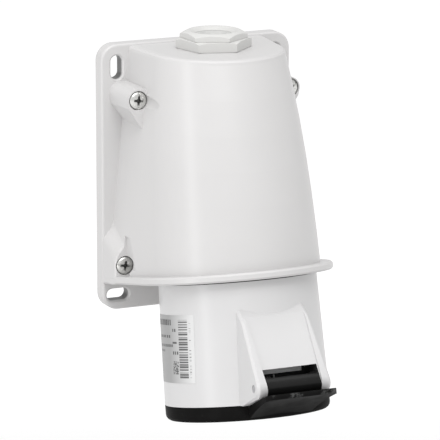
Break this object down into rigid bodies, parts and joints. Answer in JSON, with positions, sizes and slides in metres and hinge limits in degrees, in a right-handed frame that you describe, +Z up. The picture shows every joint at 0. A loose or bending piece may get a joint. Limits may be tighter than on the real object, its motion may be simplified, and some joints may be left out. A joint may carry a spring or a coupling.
{
  "type": "industrial wall socket",
  "caption": "Surface wall socket for industrial plugs: mounting plate, arched hood with cable gland, leaning barrel, spring lid with a thumb lever.",
  "frame": {"origin": "on the wall, in the middle of the four fixing slots", "axes": "+Z up, -Y out of the wall towards the front, +X to the right seen from the front"},
  "size_m": [0.1034, 0.1359, 0.1943],
  "materials": {
    "enclosure": "satin",
    "barrel": "satin",
    "black": "satin",
    "carrier": "satin",
    "gland": "satin",
    "rubber": "soft",
    "grey_rubber": "soft",
    "brass": "machined",
    "zinc": "zinc plated",
    "steel": "drawn"
  },
  "bodies": {
    "enclosure": {"rear_base": "enclosure", "base_gasket": "rubber", "cover_inserts": "brass", "hood": "enclosure", "upper_cover_screws": "zinc", "lower_cover_screws": "zinc", "socket_housing": "barrel", "housing_gasket": "rubber", "housing_screws": "zinc", "contact_carrier": "carrier", "contact_earth": "brass", "contact_line_1": "brass", "contact_line_2": "brass", "contact_line_3": "brass", "contact_neutral": "brass", "terminal_screws": "zinc", "contact_retainer": "carrier", "retainer_screw": "zinc", "carrier_screws": "zinc", "gland_body": "gland", "gland_ring": "rubber", "gland_seal": "grey_rubber", "gland_locknut": "gland", "hinge_pin": "steel", "hinge_spring": "steel"},
    "lid": {"lid": "black", "lid_gasket": "rubber"},
    "cap": {"gland_cap": "gland"}
  },
  "joints": [
    {"name": "lid_hinge", "type": "hinge", "parent": "enclosure", "child": "lid", "pos_m": [0, -0.12035, -0.08189], "axis": [-1, 0, 0], "range_deg": [0, 105], "stiffness_Nm_per_rad": 0.1, "springref_deg": -45.84, "deforming": ["hinge_spring"]},
    {"name": "gland_cap_turn", "type": "hinge", "parent": "enclosure", "child": "cap", "pos_m": [0, -0.0289, 0.0732], "axis": [0, 0, 1], "continuous": true}
  ]
}
